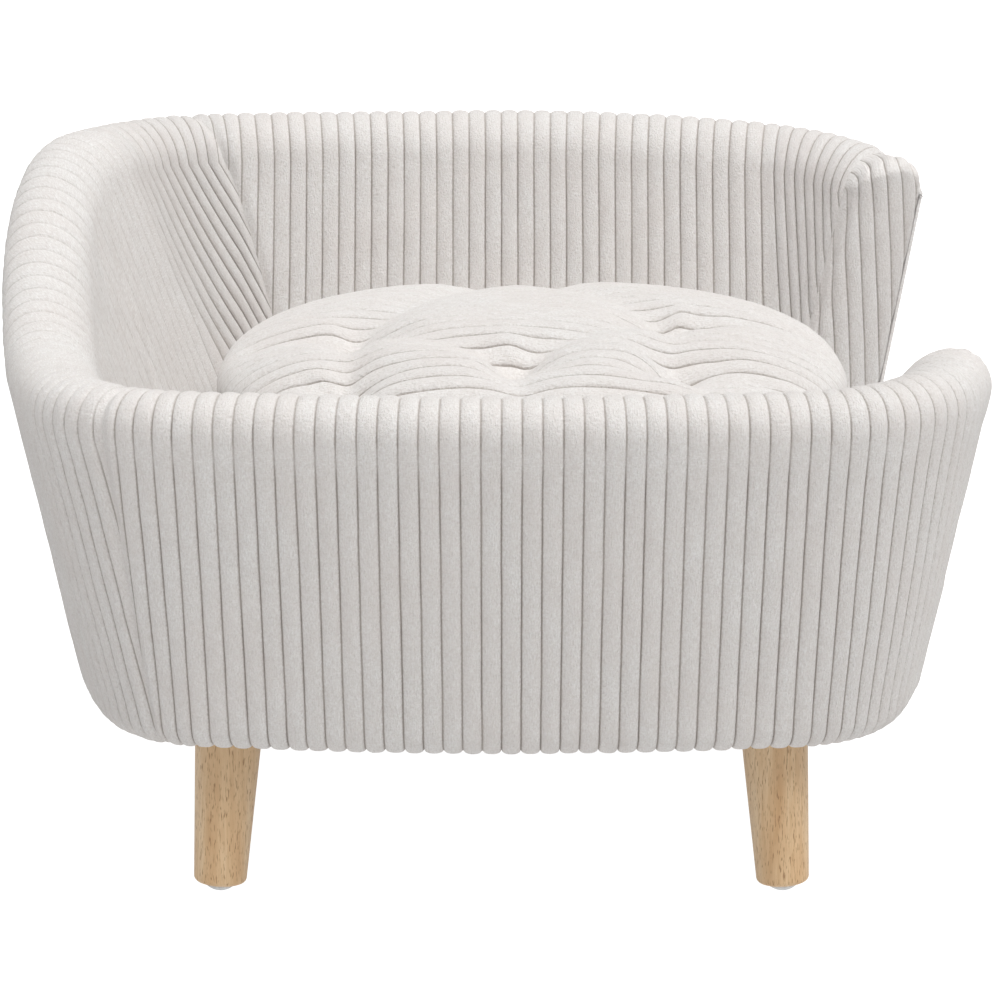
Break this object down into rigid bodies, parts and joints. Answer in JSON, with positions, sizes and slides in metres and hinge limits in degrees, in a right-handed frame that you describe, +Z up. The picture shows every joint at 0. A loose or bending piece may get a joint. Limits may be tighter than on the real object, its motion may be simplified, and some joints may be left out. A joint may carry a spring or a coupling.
{
  "type": "dog bed with frame",
  "caption": "Tub-shaped upholstered dog bed: padded corduroy wall, tall at the back and low in front, side entrance, tufted lift-out cushion, splayed wooden legs.",
  "frame": {"origin": "on the floor, under the middle of the overall outline", "axes": "+X to the entrance side (the viewer's right), +Y towards the tall back wall, +Z up"},
  "size_m": [0.5796, 0.5074, 0.401],
  "materials": {
    "corduroy": "matte wide-wale plush",
    "foam": "matte open-cell foam",
    "fibre_fill": "matte",
    "lining": "matte",
    "nonwoven": "matte",
    "twine": "matte",
    "plywood": "raw",
    "pine": "raw",
    "beech": "satin",
    "glide_plastic": "satin",
    "zinc_steel": "zinc plated"
  },
  "bodies": {
    "bed": {"base_board": "plywood", "back_panel": "plywood", "left_panel": "plywood", "front_panel": "plywood", "back_top_strip": "plywood", "left_top_strip": "plywood", "front_top_strip": "plywood", "sill_rail": "pine", "back_posts": "pine", "left_posts": "pine", "front_posts": "pine", "post_screws": "zinc_steel", "leg_plate_screws": "zinc_steel", "leg_hanger_bolts": "zinc_steel", "leg_plates": "zinc_steel", "dust_cover_staples": "zinc_steel", "glide_nails": "zinc_steel", "back_outer_foam": "foam", "left_outer_foam": "foam", "front_outer_foam": "foam", "back_rim_roll": "foam", "left_rim_roll": "foam", "front_rim_roll": "foam", "back_inner_foam": "foam", "left_inner_foam": "foam", "front_inner_foam": "foam", "back_end_foam": "foam", "front_end_foam": "foam", "sill_foam": "foam", "seat_foam": "foam", "back_cover": "corduroy", "left_cover": "corduroy", "front_cover": "corduroy", "back_end_cover": "corduroy", "front_end_cover": "corduroy", "sill_cover": "corduroy", "deck_cloth": "lining", "dust_cover": "nonwoven", "leg_front_left": "beech", "leg_front_right": "beech", "leg_rear_left": "beech", "leg_rear_right": "beech", "leg_glides": "glide_plastic"},
    "cushion": {"cushion_core": "fibre_fill", "cushion_top_panel": "corduroy", "cushion_bottom_panel": "corduroy", "cushion_tuft_ties": "twine"}
  },
  "joints": [
    {"name": "cushion_lift", "type": "slide", "parent": "bed", "child": "cushion", "axis": [0, 0, 1], "range_m": [0, 0.3]}
  ]
}
